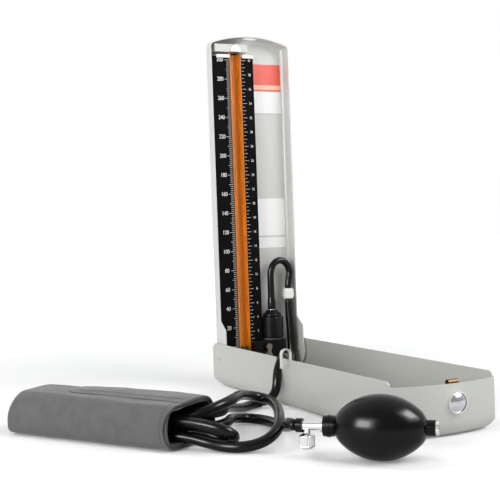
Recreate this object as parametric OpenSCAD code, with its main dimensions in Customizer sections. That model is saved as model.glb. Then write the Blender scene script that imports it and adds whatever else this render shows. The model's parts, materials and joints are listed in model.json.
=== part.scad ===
// Desk mercury sphygmomanometer: a sheet-metal case whose hinged lid carries
// the scale board, the glass tube and the mercury reservoir, with its cuff,
// hoses and rubber bulb laid out beside it. Origin: middle of the tray's
// underside. +X across the tray, +Y to the hinge end, +Z up. Lid open at rest.

/* [Tray] */
// Length of the tray's straight part, hinge end to latch-end corners
tray_l = 341; // [320:1:360]
// Width of the tray
tray_w = 94; // [88:1:104]
// Height of the long walls
wall_h = 44; // [43:1:48]
// Height of the two end walls
end_h = 40; // [39.5:0.5:42]
// Thickness of the steel sheet
sheet_t = 1; // [0.8:0.1:1.2]
// How far the latch end bows out past its corners
end_bow = 9; // [6:0.5:12]
// Radius along the bottom of the long walls and of the latch end
floor_r = 12.5; // [8:0.5:14]
// Radius along the bottom of the hinge end
heel_r = 18; // [12:0.5:20]
// Radius of the upright corners
corner_r = 4; // [3:0.5:6]

/* [Hose slit] */
// Distance of the slit's middle from the tray's middle
slit_y = 13.5; // [0:0.5:30]
// Gap left beside the hose on each side of the slit
slit_gap = 0.9; // [0.6:0.1:2]
// Height of the slit's sill
sill_h = 20; // [16:1:21]
// Height of the hose hook above the long wall
hook_rise = 10; // [6:0.5:14]
// Reach of the hose hook outside the wall
hook_reach = 8; // [5:0.5:10]
// Width of the hose hook's strip
hook_w = 4.5; // [3:0.5:6]
// Distance from the slit to the hose hook
hook_off = 14; // [8:0.5:20]

/* [Lid] */
// Gap between the closed lid and the tray's walls
lid_gap = 1.5; // [1.3:0.1:2]
// Depth of the lid
lid_depth = 15; // [14:0.5:17]
// Radius along the lid's back edges
lid_edge_r = 5; // [3:0.5:7]
// Height of the hinge line
pivot_h = 32; // [31:0.5:34]
// Distance of the hinge line from the tray's hinge end
pivot_in = 19.5; // [18.8:0.1:21]
// Radius of the lid's round hinge end
ear_r = 16; // [15.5:0.1:16.4]
// Reach of the ears in front of the lid's rim
ear_reach = 12.5; // [9:0.5:14]
// Radius of the pivot rivets
pivot_r = 2.5; // [2:0.1:3]

/* [Latch] */
// Distance of the latch from the tray's middle line
latch_x = 4; // [-5:0.5:8]
// Height of the push button
button_h = 25.7; // [24:0.1:26]
// Diameter of the push button's dome
button_d = 14.4; // [12:0.2:15]
// Travel of the push button
button_push = 1.6; // [1.2:0.1:1.8]
// Height of the catch roll
catch_h = 40.2; // [39.8:0.1:40.4]
// Width of the spring leaf
leaf_w = 9; // [6:0.5:10]
// Thickness of the spring leaf
leaf_t = 0.8; // [0.5:0.1:1]

/* [Scale] */
// Height of the scale's zero line
zero_h = 39.3; // [38:0.1:41]
// Top of the scale in mmHg
scale_top = 300; // [260:20:300]
// Length of scale for each mmHg
per_mmhg = 0.985; // [0.95:0.005:1]
// Width of the scale board
board_w = 46.5; // [44:0.5:47]
// Distance of the tube's middle from the board's left edge
tube_in = 26.2; // [25:0.1:28]
// Outer diameter of the glass tube
tube_d = 8; // [7:0.1:8.4]
// Bore of the glass tube
bore_d = 4; // [3:0.1:5]
// Width of the amber channel behind the tube
amber_w = 12.3; // [11.5:0.1:13]

/* [Reservoir] */
// Diameter of the mercury reservoir
pot_d = 23.2; // [20:0.2:23.4]
// Height of the reservoir's body
pot_h = 22; // [18:0.5:26]
// Diameter of the reservoir's cap
cap_d = 18.6; // [16:0.2:20]
// Height of the reservoir's cap
cap_h = 7.3; // [6:0.1:9]
// Height of the valve block
block_h = 22.5; // [20:0.5:24]
// Diameter of the shut-off valve's spindle
spindle_d = 5; // [4:0.2:6]

/* [Hoses] */
// Outer diameter of the cuff and gauge hoses
hose_d = 8; // [7:0.1:8.4]
// Outer diameter of the thin hose in the lid
thin_d = 7; // [6:0.1:7.4]
// Wall of the thin hose
thin_wall = 1.5; // [1.2:0.1:2]

/* [Cuff] */
// Length of the rolled cuff
cuff_l = 166; // [140:1:180]
// Width of the rolled cuff
cuff_w = 58; // [54:1:66]
// Thickness of the rolled cuff
cuff_t = 33.5; // [32:0.5:36]
// Thickness of one layer of the cuff's cloth and bladder
layer_t = 4.5; // [3:0.5:5]

/* [Bulb] */
// Diameter of the hand bulb
bulb_d = 45; // [42:0.5:48]
// Length of the bulb's egg
bulb_l = 64; // [58:0.5:70]
// Wall of the bulb
bulb_wall = 2.6; // [2:0.2:3.4]
// Diameter of the release valve's thumb wheel
wheel_d = 11; // [9:0.5:12]

/* [Hidden] */
$fn = 64;
eps = 0.01;
big = 500;
// clearances: running parts, seats that only rest, fits that are pressed in
run = 0.3;
seat = 0.1;

// ---- tray and lid outline values ----
y_heel = tray_l / 2;
y_corner = -tray_l / 2;
// circle of the bowed end, through both corners and the apex
bow_r = (pow(tray_w / 2, 2) + pow(end_bow, 2)) / (2 * end_bow);
bow_y = y_corner - end_bow + bow_r;
pivot_y = y_heel - pivot_in;
inner_w = tray_w - 2 * sheet_t;
lip_step_y = y_corner + 3;
lip_r = wall_h - end_h - 0.1;
flange_in = pivot_in - lid_depth - sheet_t - run;

lid_w = inner_w - 2 * lid_gap;
lid_in = lid_w / 2 - sheet_t;
lid_bow_r = bow_r - sheet_t - lid_gap;
lid_bow_u = pivot_y - bow_y;
lid_tip_u = lid_bow_u + lid_bow_r;
back_v = lid_depth - sheet_t;
ear_top_u = 26;

// ---- small shapes used by several pieces ----
// square corner left over outside a quarter round, at the origin
module round_off(r) {
  difference() {
    translate([-1, -1]) square(r + 1);
    translate([r, r]) circle(r);
  }
}

// rod along X from x0 to x1
module rod_x(r, x0, x1) {
  translate([x0, 0, 0]) rotate([0, 90, 0]) cylinder(r = r, h = x1 - x0);
}

// rod along Y from y0 to y1
module rod_y(r, y0, y1) {
  translate([0, y0, 0]) rotate([-90, 0, 0]) cylinder(r = r, h = y1 - y0);
}

module both_sides() {
  children();
  mirror([1, 0, 0]) children();
}

// spherical cap of base radius r and height h, standing on z = 0
module dome(r, h) {
  ball = (r * r + h * h) / (2 * h);
  rotate_extrude()
    intersection() {
      translate([0, h - ball]) circle(ball, $fn = 120);
      square([r, h]);
    }
}

// outline seen from above: straight sides, square heel, bowed far end with
// small fillets of radius rc where the bow meets the sides
module bowed_plan(half_w, near_y, bow_c, bow_rad, rc) {
  xc = half_w - rc;
  drop = sqrt(pow(bow_rad - rc, 2) - xc * xc);
  // slice of the bow's circle between the two fillets
  translate([0, bow_c])
    intersection() {
      circle(bow_rad, $fn = 360);
      polygon([[0, 0], [-2 * xc, -2 * drop], [2 * xc, -2 * drop]]);
    }
  for (s = [-1, 1]) translate([s * xc, bow_c - drop]) circle(rc);
  translate([-half_w, bow_c - drop]) square([2 * half_w, near_y - bow_c + drop]);
}

// disc about the bow's centre whose lower edge is rounded by r, standing on
// z = 0, joined to a block over the straight part
module bowed_end(bow_c, bow_rad, r, h) {
  translate([0, bow_c, 0])
    rotate_extrude($fn = 360)
      difference() {
        square([bow_rad, h]);
        translate([bow_rad, 0]) mirror([1, 0]) round_off(r);
      }
  translate([-big / 2, bow_c, 0]) cube([big, big, h]);
}

// ---- tray ----
// the tray's solid outline, drawn in by t on every side but the top
module tray_block(t, h) {
  hw = tray_w / 2 - t;
  intersection() {
    linear_extrude(h) bowed_plan(hw, y_heel - t, bow_y, bow_r - t, corner_r - t);
    // cross-section: rounded bottom along both long walls
    translate([0, big / 2, 0]) rotate([90, 0, 0]) linear_extrude(big)
      difference() {
        translate([-hw, t]) square([2 * hw, h]);
        for (s = [0, 1]) mirror([s, 0]) translate([-hw, t]) round_off(floor_r - t);
      }
    // side view: rounded heel, and upright corners there
    rotate([90, 0, 90]) linear_extrude(big, center = true)
      difference() {
        translate([y_heel - t - big, t]) square([big, h]);
        translate([y_heel - t, t]) mirror([1, 0]) round_off(heel_r - t);
      }
    translate([0, 0, t]) bowed_end(bow_y, bow_r - t, floor_r - t, h);
    linear_extrude(h)
      difference() {
        translate([-hw, -big]) square([2 * hw, big + y_heel - t]);
        for (s = [0, 1]) mirror([s, 0]) translate([-hw, y_heel - t]) mirror([0, 1]) round_off(corner_r - t);
      }
  }
}

// space above the end walls, leaving the long walls' raised lips
module above_lips() {
  lip_far = y_heel - heel_r / 3;
  rotate([90, 0, 90]) linear_extrude(big, center = true)
    difference() {
      translate([-big / 2, end_h]) square([big, big]);
      difference() {
        translate([lip_step_y, 0]) square([lip_far - lip_step_y, wall_h]);
        translate([lip_step_y, wall_h]) mirror([0, 1]) round_off(lip_r);
        translate([lip_far, wall_h]) rotate(180) round_off(lip_r);
      }
    }
}

slit_half = hose_d / 2 + slit_gap;

module hose_slit() {
  translate([-tray_w / 2 - 1, slit_y, 0])
    rotate([90, 0, 90]) linear_extrude(sheet_t + 2) {
      translate([-slit_half, sill_h + slit_half]) square([2 * slit_half, wall_h]);
      translate([0, sill_h + slit_half]) circle(slit_half);
    }
}

button_stem_r = 3.4;

module tray() {
  color("gainsboro")
    difference() {
      tray_block(0, wall_h);
      difference() {
        tray_block(sheet_t, wall_h + 1);
        // hinge end wall's rim, turned in for the open lid to rest against
        translate([-big / 2, y_heel - sheet_t - flange_in, end_h - sheet_t])
          cube([big, big, sheet_t]);
      }
      above_lips();
      hose_slit();
      translate([latch_x, 0, button_h]) rod_y(button_stem_r + run, -big, bow_y);
      translate([0, pivot_y, pivot_h]) rod_x(pivot_r + seat / 2, -big, big);
    }
}

// ---- hose hook: strip bent over the long wall beside the slit ----
hook_t = 0.8;
hook_y = slit_y - slit_half - hook_off - hook_w;
hook_leg = 14;

module hose_hook() {
  leg_x = inner_w / 2;
  arch_r = (hook_reach + hook_t + sheet_t) / 2;
  top = wall_h + hook_rise - arch_r;
  color("silver")
    translate([-leg_x, hook_y + hook_w, 0])
      rotate([90, 0, 0]) linear_extrude(hook_w) {
        translate([0, wall_h - hook_leg]) square([hook_t, top - wall_h + hook_leg]);
        translate([hook_t - arch_r, top])
          intersection() {
            difference() {
              circle(arch_r);
              circle(arch_r - hook_t);
            }
            translate([-arch_r, 0]) square(2 * arch_r);
          }
        translate([hook_t - 2 * arch_r, wall_h - hook_leg / 2]) square([hook_t, top - wall_h + hook_leg / 2]);
      }
}

// ---- lid pivots ----
washer_t = lid_gap - 0.4;
rivet_head_r = 5.5;
rivet_inner_t = 1.2;

module pivot_rivets() {
  x_out = tray_w / 2;
  x_in = lid_in - run;
  color("lightgray")
    both_sides()
      translate([0, pivot_y, pivot_h]) {
        rod_x(pivot_r, x_in - rivet_inner_t, x_out + 0.5);
        rod_x(pivot_r + 1.4, x_in - rivet_inner_t, x_in);
        translate([x_out, 0, 0]) rotate([0, 90, 0]) dome(rivet_head_r, 2);
      }
}

module pivot_washers() {
  color("dimgray")
    both_sides()
      translate([0, pivot_y, pivot_h])
        difference() {
          rod_x(rivet_head_r, inner_w / 2 - washer_t, inner_w / 2);
          rod_x(pivot_r + seat, 0, tray_w);
        }
}

// ---- latch: dome button, spring leaf with a rolled catch ----
wall_y = bow_y - sqrt(pow(bow_r, 2) - pow(latch_x, 2));
wall_in_y = bow_y - sqrt(pow(bow_r - sheet_t, 2) - pow(latch_x, 2));
lid_end_y = bow_y - sqrt(pow(lid_bow_r, 2) - pow(latch_x, 2));
catch_r = 2.4;
catch_y = lid_end_y + catch_r + 0.2;
leaf_heel_y = bow_y - bow_r + floor_r + 2;
leaf_heel_z = sheet_t + leaf_t + 0.7;
bend_r = leaf_t + 0.1;
leaf_lean = atan2(leaf_heel_y - catch_y - catch_r + leaf_t / 4, catch_h - leaf_heel_z);
stem_tip_r = 2;
// leaf's outer face at the top of the stem's tip, which stops short of it
leaf_at_button = leaf_heel_y - (button_h + stem_tip_r - leaf_heel_z) * tan(leaf_lean) - leaf_t / cos(leaf_lean);
dome_h = 2.2;
dome_gap = button_push + 0.3;

module latch_bezel() {
  color("silver")
    difference() {
      translate([latch_x, 0, button_h])
        difference() {
          rod_y(button_d / 2 + 0.9, wall_y - dome_gap - 0.4, wall_y + 1);
          rod_y(button_d / 2 + run, wall_y - 9, wall_y + 9);
        }
      translate([0, bow_y, 0]) cylinder(r = bow_r, h = wall_h, $fn = 360);
    }
}

module latch_button() {
  cap_y = wall_y - dome_gap;
  color("silver")
    translate([latch_x, 0, button_h]) {
      translate([0, cap_y + eps, 0]) rotate([90, 0, 0]) dome(button_d / 2, dome_h);
      rod_y(button_stem_r, cap_y - 0.5, wall_in_y + 3.2);
      rod_y(stem_tip_r, wall_in_y + 3, leaf_at_button - run);
      // keeper ring on the stem, inside the wall
      rod_y(button_stem_r + 1.6, wall_in_y + 0.5, wall_in_y + 1.3);
    }
}

module latch_foot() {
  foot_l = 16;
  color("peru")
    translate([latch_x - leaf_w / 2, leaf_heel_y + bend_r + 0.1, sheet_t]) {
      difference() {
        cube([leaf_w, foot_l, leaf_t]);
        translate([leaf_w / 2, foot_l * 0.65, -1]) cylinder(r = 1.6, h = 3);
      }
      // rivet that holds the foot to the tray's floor
      translate([leaf_w / 2, foot_l * 0.65, 0]) {
        cylinder(r = 1.6, h = leaf_t + 0.2);
        translate([0, 0, leaf_t]) dome(2.8, 1.2);
      }
    }
}

module latch_leaf() {
  rise = (catch_h - leaf_heel_z) / cos(leaf_lean);
  x0 = latch_x - leaf_w / 2;
  x1 = latch_x + leaf_w / 2;
  color("peru")
    difference() {
      union() {
        translate([0, leaf_heel_y, leaf_heel_z]) {
          rotate([leaf_lean, 0, 0]) translate([x0, -leaf_t, 0]) cube([leaf_w, leaf_t, rise]);
          // heel bend, turning about the spot where the foot ends
          rod_x(bend_r, x0, x1);
        }
        // top rolled outwards into the catch
        translate([0, catch_y, catch_h]) rod_x(catch_r, x0, x1);
      }
      translate([0, catch_y, catch_h]) rod_x(catch_r - leaf_t, x0 - 1, x1 + 1);
    }
}

// ---- lid, drawn in its own frame: y away from the rim, z from the pivot to
// the tip, then set on the pivot ----
module on_lid() {
  translate([0, pivot_y, pivot_h]) children();
}

// the lid's side view carried across it; its back is cut to the lid's depth
// by the plan
module lid_side(t) {
  rod_x(ear_r - t, -lid_w, lid_w);
  rotate([90, 0, 90]) linear_extrude(2 * lid_w, center = true)
    polygon([
      [t - ear_reach, 0], [t - ear_reach, ear_top_u], [0, ear_top_u + 9],
      [0, lid_tip_u + 9], [2 * lid_depth, lid_tip_u + 9], [2 * lid_depth, 0]
    ]);
}

module lid_block(t) {
  hw = lid_w / 2 - t;
  intersection() {
    // front view
    rotate([90, 0, 0]) translate([0, 0, -big]) linear_extrude(2 * big)
      mirror([0, 1])
        bowed_plan(hw, ear_r + 1, -lid_bow_u, lid_bow_r - t, corner_r + 1 - t);
    lid_side(t);
    // rounded back edges along both sides
    linear_extrude(2 * big, center = true)
      difference() {
        translate([-hw, -big]) square([2 * hw, big + lid_depth - t]);
        for (s = [0, 1]) mirror([s, 0]) translate([-hw, lid_depth - t]) mirror([0, 1]) round_off(lid_edge_r - t);
      }
    // rounded back edge round the bowed tip
    translate([0, lid_depth - t, 0]) rotate([90, 0, 0])
      mirror([0, 1, 0])
        bowed_end(-lid_bow_u, lid_bow_r - t, lid_edge_r - t, big);
  }
}

slot_w = leaf_w + 5;
slot_h = 2 * catch_r + 1.6;

module lid_shell() {
  color("lightgray")
    on_lid()
      difference() {
        lid_block(0);
        lid_block(sheet_t);
        // open front between the ears
        translate([-lid_in, -big, -big]) cube([2 * lid_in, big, 2 * big]);
        // catch slot in the tip
        translate([latch_x - slot_w / 2, catch_h - pivot_h - slot_h / 2, lid_tip_u - 12])
          cube([slot_w, slot_h, 20]);
        rod_x(pivot_r + run / 2, -big, big);
      }
}

// ---- scale board and tube, in the lid's frame ----
board_x = -lid_in + 0.2;
tube_x = board_x + tube_in;
board_v = 1;
board_t = 1.2;
board_u0 = 4;
board_u1 = zero_h + scale_top * per_mmhg + 3.7 - pivot_h;
amber_wall = 0.8;
amber_depth = tube_d + 1.2;
amber_v = board_v - 0.6;
tube_v = amber_v + amber_depth - 0.8 - tube_d / 2;
block_x0 = tube_x - 7;
block_v0 = -7.5;
block_u0 = -10;
block_u1 = block_u0 + block_h;
// the block is lower under the tube than under the pot
boss_u1 = 3;
step_x = tube_x + 8;
seat_h = 1.5;
tube_u0 = boss_u1 + seat_h;
bracket_u0 = board_u1 + 4.5;
bracket_h = 7.8;
bracket_v = board_v - 1.5;
tube_u1 = bracket_u0 + 1.5;
slot_clear = 0.2;

module scale_board() {
  color("black")
    on_lid()
      difference() {
        translate([board_x, board_v, board_u0]) {
          len = board_u1 - board_u0;
          deep = back_v - board_v;
          cube([board_w, board_t, len]);
          // flanges folded back, the one beside the lid's wall clear of its
          // rounded edge, the other down to its back
          cube([board_t, deep - lid_edge_r, len]);
          translate([board_w - board_t, 0, 0]) cube([board_t, deep, len]);
        }
        // long window for the amber channel
        translate([tube_x - amber_w / 2 - slot_clear, -1, 0]) cube([amber_w + 2 * slot_clear, 6, big]);
        // room for the valve block
        translate([step_x - 0.5, -1, -1]) cube([big, lid_depth, block_u1 + 1.5]);
      }
}

module amber_channel() {
  len = bracket_u0 - boss_u1 - 2 * slot_clear;
  color("orange")
    on_lid()
      translate([tube_x - amber_w / 2, amber_v, boss_u1 + slot_clear])
        difference() {
          cube([amber_w, amber_depth + amber_wall, len]);
          translate([amber_wall, -1, -1])
            cube([amber_w - 2 * amber_wall, amber_depth + 1, len + 2]);
        }
}

module glass_tube() {
  color([0.85, 0.9, 0.9, 0.4])
    on_lid()
      translate([tube_x, tube_v, tube_u0])
        difference() {
          cylinder(d = tube_d, h = tube_u1 - tube_u0);
          translate([0, 0, -1]) cylinder(d = bore_d, h = big);
        }
}

// mercury stands at the zero line while the cuff is open to the air
module mercury_column() {
  foot = boss_u1 + 0.2;
  level = zero_h - pivot_h - foot;
  color("silver")
    on_lid()
      translate([tube_x, tube_v, foot]) {
        cylinder(d = bore_d - 0.1, h = level);
        translate([0, 0, level]) dome(bore_d / 2 - 0.05, 0.6);
      }
}

module tube_seat() {
  color("dimgray")
    on_lid()
      translate([tube_x, tube_v, boss_u1])
        difference() {
          cylinder(d = tube_d + 1.4, h = seat_h + 2);
          translate([0, 0, seat_h]) cylinder(d = tube_d + seat, h = 9);
          translate([0, 0, -1]) cylinder(d = bore_d + seat, h = 9);
        }
}

module tube_bung() {
  color("dimgray")
    on_lid()
      translate([tube_x, tube_v, tube_u1]) {
        difference() {
          translate([0, 0, -3]) cylinder(d = tube_d + 1.2, h = 5.4);
          translate([0, 0, -4]) cylinder(d = tube_d + seat, h = 4);
          translate([0, 0, -1]) cylinder(r = 0.6, h = 5);
        }
      }
}

module top_bracket() {
  w = board_w - 10;
  x0 = board_x + 3.5;
  t = 0.9;
  color("ivory")
    on_lid()
      difference() {
        translate([x0, bracket_v, bracket_u0]) {
          cube([w, t, bracket_h]);
          cube([w, back_v - bracket_v, t]);
          for (x = [0, w - t])
            translate([x, 0, 0]) cube([t, back_v - bracket_v - lid_edge_r, bracket_h]);
        }
        // hole that the tube's bung sits in
        translate([tube_x, tube_v, bracket_u0 - 3]) cylinder(d = tube_d + 1.2 + seat, h = 9);
      }
}

module tube_clip() {
  clip_w = 11.4;
  color("white")
    on_lid()
      translate([tube_x - clip_w / 2, bracket_v, bracket_u0 + 0.3])
        rotate([90, 0, 0]) linear_extrude(1.6)
          polygon([[0, 0], [clip_w, 0], [clip_w, 3], [clip_w * 0.62, 7.4], [clip_w * 0.38, 7.4], [0, 3]]);
}

module board_blocks() {
  color("white")
    on_lid()
      for (b = [[board_x + 5.5, 14], [tube_x + amber_w / 2 + 1.5, 12.5]])
        translate([b[0], board_v - 1.6, board_u1 - 1.4]) {
          cube([b[1], 1.6, 3.2]);
          translate([0, 1.6, 1.5]) cube([b[1], back_v - board_v, 1.7]);
        }
}

// ---- valve block, reservoir and the hose in the lid ----
pot_x = board_x + board_w + 0.6 + pot_d / 2;
pot_v = back_v - 0.4 - pot_d / 2;
block_x1 = pot_x + pot_d / 2;
spindle_x = tube_x + 21.5;
pool_r = 6.5;
gasket_h = 1.5;
pot_u0 = block_u1 + gasket_h;
pot_u1 = pot_u0 + pot_h;
pot_wall = 2;
cap_u1 = pot_u1 + cap_h;
nipple_h = 6.6;
duct_r = 1.6;
duct_u = -3;
duct_v = (tube_v + pot_v) / 2;
screw_u = duct_u - 4;

module valve_block() {
  w = block_x1 - block_x0;
  d = back_v - block_v0;
  color("black")
    on_lid()
      difference() {
        // front edges rounded, back flat on the lid
        translate([block_x0, block_v0, block_u0])
          linear_extrude(block_h)
            difference() {
              square([w, d]);
              round_off(3);
              translate([w, 0]) mirror([1, 0]) round_off(3);
            }
        // lower corner follows the lid's round end
        difference() {
          translate([block_x0 - 1, 0, -big]) cube([w + 2, big, big]);
          rod_x(ear_r - sheet_t - seat, -big, big);
        }
        // lower step under the tube
        translate([block_x0 - 1, block_v0 - 1, boss_u1]) cube([step_x - block_x0 + 1, d + 2, block_h]);
        // mercury's chamber under the pot, and its way across and up to the tube
        translate([pot_x, pot_v, duct_u - 3]) cylinder(r = pool_r, h = big);
        translate([0, duct_v, duct_u]) rod_x(duct_r, tube_x, pot_x);
        translate([tube_x, tube_v, duct_u]) cylinder(r = duct_r, h = big);
        // bore of the shut-off spindle
        translate([spindle_x, 0, duct_u]) rod_y(spindle_d / 2 + run, block_v0 - 1, tube_v + 3.4);
        for (x = [block_x0 + 4, block_x1 - 4])
          translate([x, 0, screw_u]) rod_y(1.5, block_v0 - 1, back_v + 1);
      }
}

module block_screws() {
  color("silver")
    on_lid()
      for (x = [block_x0 + 4, block_x1 - 4])
        translate([x, block_v0, screw_u]) {
          rotate([90, 0, 0]) dome(2.2, 1.3);
          rod_y(1.45, -0.2, ear_r - sheet_t - block_v0 - 2.7);
        }
}

// quarter-turn plug: a cross bore in it lines up with the duct when open
module valve_spindle() {
  lever_v = block_v0 - 5.2;
  color("silver")
    on_lid()
      translate([spindle_x, 0, duct_u]) {
        difference() {
          rod_y(spindle_d / 2, lever_v + 1, tube_v + 3);
          translate([0, duct_v, 0]) rod_x(duct_r, -9, 9);
        }
        // lever: a flat bar with a round knob end, pointing up when open
        translate([0, lever_v + 2.5, 0])
          rotate([90, 0, 0]) linear_extrude(2.5) {
            circle(spindle_d / 2 + 1);
            translate([-2, 0]) square([4, 9]);
            translate([0, 9.5]) circle(3.2);
          }
      }
}

module spindle_nut() {
  color("silver")
    on_lid()
      translate([spindle_x, block_v0, duct_u])
        rotate([90, 0, 0])
          difference() {
            cylinder(r = spindle_d / 2 + 2.2, h = 2.2, $fn = 6);
            translate([0, 0, -1]) cylinder(r = spindle_d / 2 + run, h = 9);
          }
}

module pot_gasket() {
  color("dimgray")
    on_lid()
      translate([pot_x, pot_v, block_u1])
        difference() {
          cylinder(d = pot_d - 2, h = gasket_h);
          translate([0, 0, -1]) cylinder(r = pool_r, h = 9);
        }
}

module reservoir_pot() {
  color("black")
    on_lid()
      translate([pot_x, pot_v, pot_u0])
        rotate_extrude()
          difference() {
            union() {
              square([pot_d / 2 - 1, pot_h]);
              translate([0, 1]) square([pot_d / 2, pot_h - 2]);
              for (z = [1, pot_h - 1]) translate([pot_d / 2 - 1, z]) circle(1, $fn = 24);
            }
            translate([0, pot_wall]) square([pot_d / 2 - pot_wall, pot_h]);
            translate([0, -1]) square([pool_r, 9]);
          }
}

module mercury_pool() {
  color("silver")
    on_lid()
      translate([pot_x, pot_v, duct_u - 3 + seat / 2])
        cylinder(r = pool_r - seat / 2, h = zero_h - pivot_h - duct_u + 3);
}

module reservoir_cap() {
  color("black")
    on_lid()
      translate([pot_x, pot_v, pot_u1])
        rotate_extrude()
          difference() {
            union() {
              square([cap_d / 2, cap_h - 1.5]);
              square([cap_d / 2 - 1.5, cap_h]);
              translate([cap_d / 2 - 1.5, cap_h - 1.5]) circle(1.5, $fn = 32);
              // grooves' ribs
              for (z = [1.6, 3.4]) translate([cap_d / 2, z]) circle(0.5, $fn = 16);
              translate([0, -2.5]) square([pot_d / 2 - pot_wall - seat, 2.5 + eps]);
            }
            translate([0, -9]) square([duct_r, 30]);
          }
}

module hose_nipple() {
  color("silver")
    on_lid()
      translate([pot_x, pot_v, cap_u1])
        rotate_extrude()
          difference() {
            union() {
              square([3.6, 1.6]);
              square([thin_d / 2 - thin_wall - 0.3, nipple_h]);
              polygon([[0, 3.4], [thin_d / 2 - thin_wall, 3.4], [thin_d / 2 - thin_wall - 0.6, nipple_h], [0, nipple_h]]);
            }
            translate([0, -1]) square([0.9, 20]);
          }
}

// ---- hoses ----
function unit(a) = a / norm(a);
function at(p, i) = p[max(0, min(len(p) - 1, i))];
// Catmull-Rom curve through points p, n steps to a span, both ends kept
function bend(p, i, t) =
  let (a = at(p, i - 1), b = at(p, i), c = at(p, i + 1), d = at(p, i + 2))
  0.5 * (2 * b + (c - a) * t + (2 * a - 5 * b + 4 * c - d) * t * t + (3 * b - a - 3 * c + d) * t * t * t);
function route(p, n) = [
  for (i = [0 : len(p) - 2]) for (k = [0 : n - 1]) bend(p, i, k / n),
  p[len(p) - 1]
];
// side vector carried along the path from ring to ring, so the tube never twists
function carry(s, d) = unit(s - (s * d) * d);
function sides(dirs) = [
  for (i = 0, s = carry(abs(dirs[0][2]) > 0.7 ? [1, 0, 0] : [0, 0, 1], dirs[0]);
    i < len(dirs);
    i = i + 1, s = i < len(dirs) ? carry(s, dirs[i]) : s) s
];

// tube of radius r with m sides round points i0 to i1 of the path
module tube(path, r, m, i0, i1) {
  n = i1 - i0 + 1;
  dirs = [for (i = [0 : len(path) - 1]) unit(at(path, i + 1) - at(path, i - 1))];
  side = sides(dirs);
  ring = [
    for (i = [i0 : i1]) for (j = [0 : m - 1])
      path[i] + r * (cos(360 * j / m) * side[i] + sin(360 * j / m) * cross(dirs[i], side[i]))
  ];
  faces = concat(
    [[for (j = [0 : m - 1]) j]],
    [for (i = [0 : n - 2]) for (j = [0 : m - 1]) for (f = [0, 1])
      let (a = i * m + j, b = i * m + (j + 1) % m)
      f == 0 ? [a, a + m, b] : [b, a + m, b + m]],
    [[for (j = [m - 1 : -1 : 0]) (n - 1) * m + j]]
  );
  polyhedron(points = ring, faces = faces, convexity = 8);
}

hose_r = hose_d / 2;
// the thin hose goes up from the nipple, over and down into the coupling
arch_x = 38;
arch_u = 80;
coupling = [35, pivot_y + 1, 86];
coupling_h = 10.6;
coupling_d = 11.8;

module lid_hose() {
  start = [pot_x, pivot_y + pot_v, pivot_h + cap_u1 + 1.7];
  mid = (pot_x + arch_x) / 2;
  rise = (arch_x - pot_x) / 2;
  top = pivot_h + arch_u;
  arch = [for (a = [180 : -30 : 0]) [mid + rise * cos(a), coupling[1] + 1, top + 1.15 * rise * sin(a)]];
  path = concat(
    [start, start + [0, 0, 8]],
    arch,
    [
      coupling + [0.4, 0, coupling_h + 7], coupling + [0, 0, coupling_h + 3],
      coupling + [0, 0, coupling_h + seat]
    ]
  );
  full = route(path, 2);
  color("black") tube(full, thin_d / 2, 12, 0, len(full) - 1);
}

module hose_coupling() {
  color("white")
    translate(coupling)
      rotate_extrude()
        difference() {
          union() {
            square([coupling_d / 2 - 0.8, coupling_h]);
            translate([0, 1.6]) square([coupling_d / 2, coupling_h - 3.2]);
          }
          translate([0, -1]) square([1.6, 20]);
        }
}

// the gauge hose, from the coupling down through the hinge end, over the sill
// of the slit and across the table into the cuff; it is cut into the stretch
// that the hinge bends, the stretch that the closing lid presses down, and the
// free stretch
hinge_pts = [for (p = [
  [35, 1, 85.7], [35, 1, 72], [35, -1, 52], [35, -2, 36],
  [34, -6, 22], [30, -15, 11]
]) [p[0], pivot_y + p[1], p[2]]];
sill_pts = [
  [24, pivot_y - 27, 6], [17, pivot_y - 39, 5.4], [6, pivot_y - 56, 5.4],
  [-7, 74, 8], [-19, 54, 18],
  [-28, 38, 31], [-35, 25, 41], [-40.5, 16.5, 44.5], [-45, 13.6, 41],
  [-48.3, 12.6, 34.5], [-51.4, 9.5, 28], [-52.6, 6.5, 21.5],
  [-53.5, 8, 14], [-56, 12.5, 8]
];
// near mouth corner of the rolled cuff and the way its mouth faces
cuff_at = [-198, -114, 0.2];
cuff_turn = -57.9;
cuff_a = [cos(cuff_turn), sin(cuff_turn), 0];
cuff_n = [-sin(cuff_turn), cos(cuff_turn), 0];
// point given as [out of the mouth, across the roll, height]
function by_cuff(p) = [
  cuff_at[0] + p[0] * cuff_a[0] + p[1] * cuff_n[0],
  cuff_at[1] + p[0] * cuff_a[1] + p[1] * cuff_n[1], p[2]
];
hose_in = -24;

// middle of the bulb, the way it points, and the hose's end on its axis
bulb_at = [-82, -211, bulb_d / 2];
bulb_turn = -41.3;
hose_x = -58.5;
function by_bulb(x) = bulb_at + x * [cos(bulb_turn), sin(bulb_turn), 0];

gauge_pts = concat(
  [[-61.5, 17.5, 4.6], [-69, 18.5, 4.2], [-77, 14, 4.2], [-85, 7, 4.4]],
  [for (p = [
    [-39, 148, 6], [-31, 122, 11], [-22, 103, 15], [-11, 85, 19],
    [0, 68, 20.5], [5, 55, 21.5], [-1, 45.5, 21.5], [-11, 41.5, 21.5],
    [hose_in + 5, 41.5, 21.5], [hose_in, 41.5, 21.5]
  ]) by_cuff(p)]
);
gauge_path = route(concat(hinge_pts, sill_pts, gauge_pts), 2);
hinge_end = 2 * len(hinge_pts);
sill_end = hinge_end + 2 * len(sill_pts);

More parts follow.
